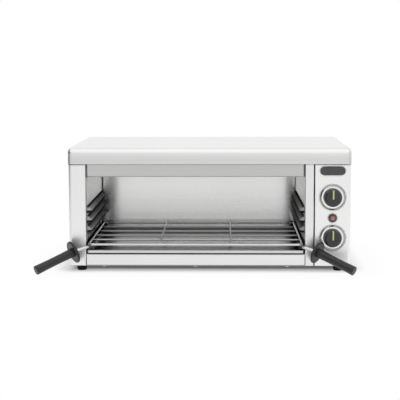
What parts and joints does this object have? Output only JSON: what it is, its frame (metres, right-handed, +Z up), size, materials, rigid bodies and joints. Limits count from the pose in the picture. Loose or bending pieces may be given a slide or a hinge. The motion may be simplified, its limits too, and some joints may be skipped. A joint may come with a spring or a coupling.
{
  "type": "salamander grill",
  "caption": "Bench-top electric salamander grill: an open-fronted steel cabinet with top heating elements, a sliding wire rack with two angled handles, a crumb tray and rotary controls.",
  "frame": {"origin": "middle of the cabinet's footprint, on the plane that the four feet stand on", "axes": "+X to the right as seen from the front, +Y from the open front to the back, +Z up"},
  "size_m": [0.6793, 0.4226, 0.268],
  "materials": {
    "casing_steel": "fine brushed, satin",
    "liner_steel": "bright satin",
    "reflector_steel": "bright",
    "plain_steel": "zinc coated",
    "rack_chrome": "bright plated",
    "element_sheath": "dull, heat tinted",
    "bushing_ceramic": "fired, semi-gloss",
    "insulation": "fibre blanket",
    "grip_plastic": "moulded, satin",
    "knob_plastic": "moulded, satin",
    "pointer_plastic": "moulded, pale yellow-green",
    "bezel_chrome": "bright, turned",
    "regulator_plastic": "moulded",
    "shaft_steel": "turned",
    "lamp_red": "clear red",
    "gland_plastic": "moulded",
    "block_plastic": "moulded",
    "lead_sleeve": "woven glass sleeve",
    "foot_rubber": "moulded",
    "screw_steel": "zinc plated"
  },
  "bodies": {
    "cabinet": {"top_cover": "casing_steel", "left_side_panel": "casing_steel", "control_casing": "casing_steel", "back_panel": "casing_steel", "right_liner": "casing_steel", "front_fascia": "casing_steel", "cavity_floor": "liner_steel", "left_liner": "liner_steel", "back_liner": "liner_steel", "left_rack_runners": "liner_steel", "right_rack_runners": "liner_steel", "left_rack_ledge": "liner_steel", "right_rack_ledge": "liner_steel", "reflector": "reflector_steel", "base_plate": "plain_steel", "element_hangers": "plain_steel", "front_heating_element": "element_sheath", "rear_heating_element": "element_sheath", "element_bushings": "bushing_ceramic", "top_insulation": "insulation", "left_insulation": "insulation", "rear_insulation": "insulation", "upper_bezel": "bezel_chrome", "lower_bezel": "bezel_chrome", "upper_regulator": "regulator_plastic", "lower_regulator": "regulator_plastic", "pilot_lamp_body": "regulator_plastic", "bush_nuts": "shaft_steel", "pilot_lamp_nut": "shaft_steel", "pilot_lamp_lens": "lamp_red", "cable_gland": "gland_plastic", "gland_nut": "gland_plastic", "terminal_block": "block_plastic", "wiring_leads": "lead_sleeve", "front_left_foot": "foot_rubber", "front_right_foot": "foot_rubber", "rear_left_foot": "foot_rubber", "rear_right_foot": "foot_rubber", "foot_screws": "screw_steel", "foot_nuts": "screw_steel", "base_screws": "screw_steel", "back_screws": "screw_steel", "lid_screws": "screw_steel"},
    "rack": {"rack_frame": "rack_chrome", "rack_bars": "rack_chrome", "rack_cross_wires": "rack_chrome", "left_handle_rod": "rack_chrome", "left_handle_guard": "grip_plastic", "left_handle_grip": "grip_plastic", "right_handle_rod": "rack_chrome", "right_handle_guard": "grip_plastic", "right_handle_grip": "grip_plastic"},
    "tray": {"crumb_tray": "liner_steel"},
    "upper_control": {"upper_knob": "knob_plastic", "upper_knob_pointer": "pointer_plastic", "upper_shaft": "shaft_steel"},
    "lower_control": {"lower_knob": "knob_plastic", "lower_knob_pointer": "pointer_plastic", "lower_shaft": "shaft_steel"}
  },
  "joints": [
    {"name": "rack_slide", "type": "slide", "parent": "cabinet", "child": "rack", "axis": [0, -1, 0], "range_m": [0, 0.28]},
    {"name": "tray_slide", "type": "slide", "parent": "cabinet", "child": "tray", "axis": [0, -1, 0], "range_m": [0, 0.28]},
    {"name": "upper_knob_turn", "type": "hinge", "parent": "cabinet", "child": "upper_control", "pos_m": [0.26475, -0.1638, 0.16151], "axis": [0, 1, 0], "range_deg": [0, 270]},
    {"name": "lower_knob_turn", "type": "hinge", "parent": "cabinet", "child": "lower_control", "pos_m": [0.26475, -0.1638, 0.07399], "axis": [0, 1, 0], "range_deg": [0, 270]}
  ]
}
